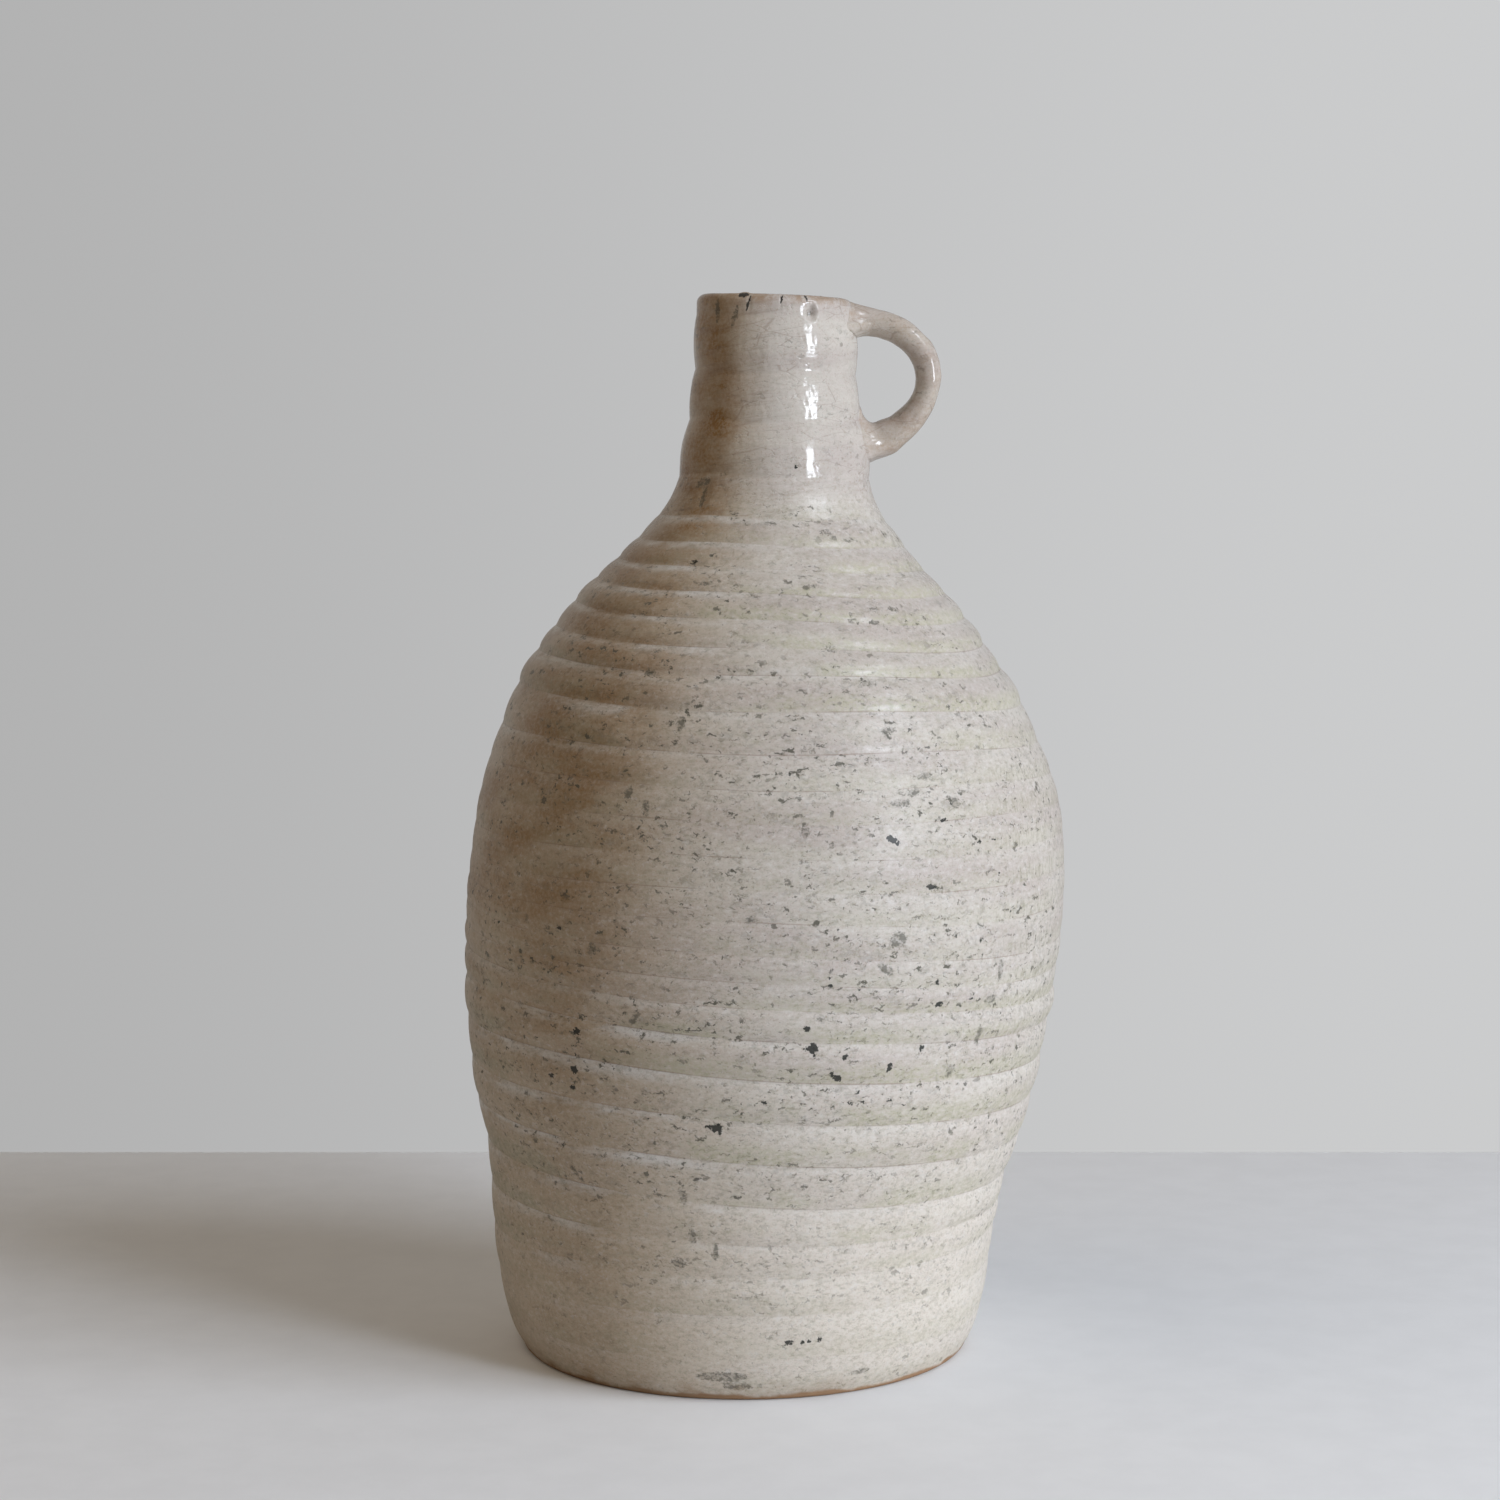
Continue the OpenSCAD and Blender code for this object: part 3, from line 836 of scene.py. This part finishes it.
def lay_hairlines(t, crazed):
    """Hairlines where a groove is deepest."""
    line = t.times(t.step(t.groove, 0.028, 0.004), t.step(t.noise(t.streaky, 7, 3, 0.6), 0.44, 0.60))
    line = t.times(line, t.step(t.height, 285, 240), t.step(t.height, 30, 90, 0.2, 1.0))
    if crazed:
        line = lay_crazing(t, line)
    t.lay(t.times(line, 0.42), RUST)


def lay_marks(t):
    """The marks listed one by one, with ragged edges."""
    wild = t.times(t.minus(t.noise(t.at, 0.7, 2), 0.5), 2.2)
    iron = t.step(t.plus(t.field("iron"), wild), 0.15, -0.15)
    fog = t.times(t.minus(t.noise(t.at, 1.0, 3, 0.7), 0.5), 4.5)
    smudge = t.step(t.plus(t.field("smudge"), fog), 0.5, -0.5)
    smudge = t.times(smudge, t.step(t.noise(t.bent, 1.2, 2), 0.40, 0.58, 0.35, 1.0))
    t.lay(t.times(smudge, 0.75), PEPPER)
    t.lay(t.times(iron, 0.93), IRON)


def lay_foot(t):
    """The foot's edge, toasted by the fire, and bare where the glaze stops."""
    toast = t.times(t.step(t.height, 10, 1), t.step(t.noise(t.wide, 9, 3, 0.6), 0.38, 0.62))
    t.lay(t.times(toast, t.step(t.facing, 0.8, -0.4, 0.10, 0.55)), OCHRE)
    t.bare = t.step(t.plus(t.height, t.times(t.noise(t.at, 14, 4, 0.6), -5.0)), 0.0, -1.4)
    t.lay(t.bare, CLAY)


def set_gloss(t):
    """Gloss that falls off from the neck to the foot, in the specks and on bare clay."""
    rough = t.minus(t.rising(t.dull, 0.25, 0.17), t.times(t.step(t.height, 60, 290), 0.19))
    rough = t.plus(rough, t.times(t.noise(t.at, 7, 3, 0.6), 0.08), t.times(t.dark, 0.12))
    t.put(t.shader.inputs["Roughness"], t.math("MAXIMUM", rough, t.times(t.bare, 0.85), clamp=True))
    t.put(t.shader.inputs["Specular IOR Level"], t.step(t.height, 180, 225, 0.22, 0.5))
    t.shader.inputs["IOR"].default_value = 1.5


def set_bump(t):
    """Orange peel, throwing strokes, and the small pits that iron leaves."""
    peel = t.times(t.noise(t.at, 1.7, 3, 0.55), 0.05)
    strokes = t.times(t.noise(t.scaled(t.at, THREADY), 1.5, 3, 0.6), 0.07)
    bump = t.plus(peel, strokes, t.times(t.blot, -0.06))
    normal = t.node("ShaderNodeBump", {"Height": bump, "Strength": 1.0, "Distance": MM}).outputs[0]
    t.put(t.shader.inputs["Normal"], normal)


def glaze(name, crazed, flashed):
    """Oatmeal glaze over speckled stoneware.

    crazed adds the neck's streaks and cracks. flashed is how brown it is on the handle's side too.
    """
    t = Glaze(name)
    lay_ground_and_painted_shade(t)
    lay_brows_and_painted_highlight(t)
    lay_grain(t)
    lay_hollows(t)
    lay_hatching(t)
    lay_flashing_and_painted_shade(t, flashed)
    lay_rim(t)
    lay_iron(t)
    lay_hairlines(t, crazed)
    lay_marks(t)
    lay_foot(t)
    t.put(t.shader.inputs["Base Color"], t.colour)
    set_gloss(t)
    set_bump(t)
    return t.material


# ---------------------------------------------------------------- the pieces

glazes = {
    "body_glaze": glaze("body_glaze", False, 0.0),
    "neck_glaze": glaze("neck_glaze", True, 0.0),
    "handle_glaze": glaze("handle_glaze", True, 0.45),
}
# The floor slab's edge is glazed with the body, and the glaze itself leaves the clay under it bare
glazes["foot_clay"] = glazes["body_glaze"]


def finish_piece(piece, node, slot):
    """Gives a piece its glaze and its body, and hides the CAD node that it stands in for."""
    piece.data.materials.append(glazes[slot])
    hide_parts(node)
    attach(piece, "root")


finish_piece(floor_piece("floor_slab", FLOOR_TOP), "base_slab", "foot_clay")
finish_piece(wall_piece("foot_ring", FLOOR_TOP, SEAM_FOOT, 1.0), "foot_wall", "body_glaze")
finish_piece(wall_piece("belly_ring", SEAM_FOOT, SEAM_BELLY, 0.95), "belly_wall", "body_glaze")
finish_piece(wall_piece("shoulder_ring", SEAM_BELLY, SEAM_NECK, 0.95), "shoulder_wall", "body_glaze")
finish_piece(neck_piece("neck", SEAM_NECK, 0.6), "neck_collar", "neck_glaze")
finish_piece(strap_piece("strap"), "handle_strap", "handle_glaze")
finish_piece(pad_piece("upper_root", 0.0, UPPER_ROOT), "handle_top_pad", "handle_glaze")
finish_piece(pad_piece("lower_root", 1.0, LOWER_ROOT), "handle_foot_pad", "handle_glaze")

# ---------------------------------------------------------------- camera, floor and light

# From here on, lengths are in metres
CAMERA_AT = (0.002, -1.088, 0.312)
CAMERA_DOWN = 5.6  # degrees
CAMERA_LENS = 76.4  # its focal length for this sensor, both in millimetres
CAMERA_SENSOR = 36
FLOOR_BACK = 0.285
FLOOR_SIDE = 0.85
FLOOR_COLOUR = (0.815, 0.820, 0.835)
LIGHT_AIM = Vector((0, 0, 0.2))
DAYLIGHT = (0.90, 0.974, 1.08)
LAMPLIGHT = (1.0, 0.88, 0.72)
# Angle, elevation, distance, width, height, power, colour, and whether it shows in the gloss
LIGHTS = {
    "window": (49, 9, 1.8, 0.34, 0.62, 11.5, DAYLIGHT, True),
    "high_window": (66, 44, 2.0, 0.6, 0.35, 4.5, DAYLIGHT, True),
    "soft_fill": (60, 23, 2.2, 1.6, 1.8, 36.5, DAYLIGHT, False),
    "ceiling": (-70, 56, 1.8, 1.3, 1.3, 6.2, LAMPLIGHT, False),
}
# The room's light from the front and from behind the pot, and the backdrop on the left and the right, darker
# on the left as painted shade
ROOM = ((0.088, 0.062, 0.036), (0.38, 0.375, 0.365))
BACKDROP = ((0.44, 0.44, 0.44), (0.60, 0.605, 0.61))


def floor_material():
    """Pale painted board with a faint grain."""
    t = Tree("floor")
    dust = t.step(t.noise(t.position(), 0.02, 4, 0.6), 0.3, 0.7, 0.97, 1.0)
    t.put(t.shader.inputs["Base Color"], t.mix(dust, (0.0, 0.0, 0.0), FLOOR_COLOUR))
    t.shader.inputs["Roughness"].default_value = 0.85
    t.shader.inputs["Specular IOR Level"].default_value = 0.2
    return t.material


def make_floor():
    """A board whose far edge is just behind the pot."""
    mesh = bpy.data.meshes.new("floor")
    corners = [
        (-FLOOR_SIDE, -FLOOR_SIDE, 0), (FLOOR_SIDE, -FLOOR_SIDE, 0),
        (FLOOR_SIDE, FLOOR_BACK, 0), (-FLOOR_SIDE, FLOOR_BACK, 0),
    ]
    mesh.from_pydata(corners, [], [(0, 1, 2, 3)])
    floor = bpy.data.objects.new("floor", mesh)
    bpy.context.collection.objects.link(floor)
    mesh.materials.append(floor_material())


def make_camera():
    """A camera at the photo's place, looking slightly down."""
    camera = bpy.data.cameras.new("camera")
    camera.sensor_width = CAMERA_SENSOR
    camera.lens = CAMERA_LENS
    holder = bpy.data.objects.new("camera", camera)
    holder.location = CAMERA_AT
    holder.rotation_euler = (math.radians(90 - CAMERA_DOWN), 0, 0)
    bpy.context.collection.objects.link(holder)
    bpy.context.scene.camera = holder


def area_light(name, angle, elevation, distance, width, height, power, colour, glossy):
    """A soft light that faces the pot's middle, at this angle round it."""
    lamp = bpy.data.lights.new(name, "AREA")
    lamp.shape = "RECTANGLE"
    lamp.size = width
    lamp.size_y = height
    lamp.energy = power
    lamp.color = colour
    holder = bpy.data.objects.new(name, lamp)
    a = from_front(angle)
    e = math.radians(elevation)
    way = Vector((math.cos(a) * math.cos(e), math.sin(a) * math.cos(e), math.sin(e)))
    holder.location = LIGHT_AIM + way * distance
    holder.rotation_euler = way.to_track_quat("Z", "Y").to_euler()
    holder.visible_glossy = glossy
    bpy.context.collection.objects.link(holder)


def make_world():
    """Dim warm light from the room, paler from behind the pot, and a pale grey backdrop, darker on the left
    as painted shade.
    """
    world = bpy.data.worlds.new("world")
    bpy.context.scene.world = world
    world.use_nodes = True
    nodes = world.node_tree.nodes
    links = world.node_tree.links
    way = nodes.new("ShaderNodeSeparateXYZ")
    links.new(nodes.new("ShaderNodeTexCoord").outputs["Generated"], way.inputs[0])

    def blend(source, start, end, colours):
        share = nodes.new("ShaderNodeMapRange")
        share.interpolation_type = "SMOOTHSTEP"
        share.inputs[1].default_value = start
        share.inputs[2].default_value = end
        links.new(source, share.inputs[0])
        mix = nodes.new("ShaderNodeMix")
        mix.data_type = "RGBA"
        mix.inputs[6].default_value = (*colours[0], 1)
        mix.inputs[7].default_value = (*colours[1], 1)
        links.new(share.outputs[0], mix.inputs[0])
        return mix.outputs[2]

    room = nodes["Background"]
    links.new(blend(way.outputs[1], -0.2, 0.9, ROOM), room.inputs[0])
    wall = nodes.new("ShaderNodeBackground")
    # The backdrop is darker on the left: painted shade
    links.new(blend(way.outputs[0], -0.30, 0.25, BACKDROP), wall.inputs[0])
    choose = nodes.new("ShaderNodeMixShader")
    links.new(nodes.new("ShaderNodeLightPath").outputs["Is Camera Ray"], choose.inputs[0])
    links.new(room.outputs[0], choose.inputs[1])
    links.new(wall.outputs[0], choose.inputs[2])
    links.new(choose.outputs[0], nodes["World Output"].inputs[0])


make_camera()
make_floor()
make_world()
for light, settings in LIGHTS.items():
    area_light(light, *settings)
bpy.context.scene.view_settings.view_transform = "Standard"
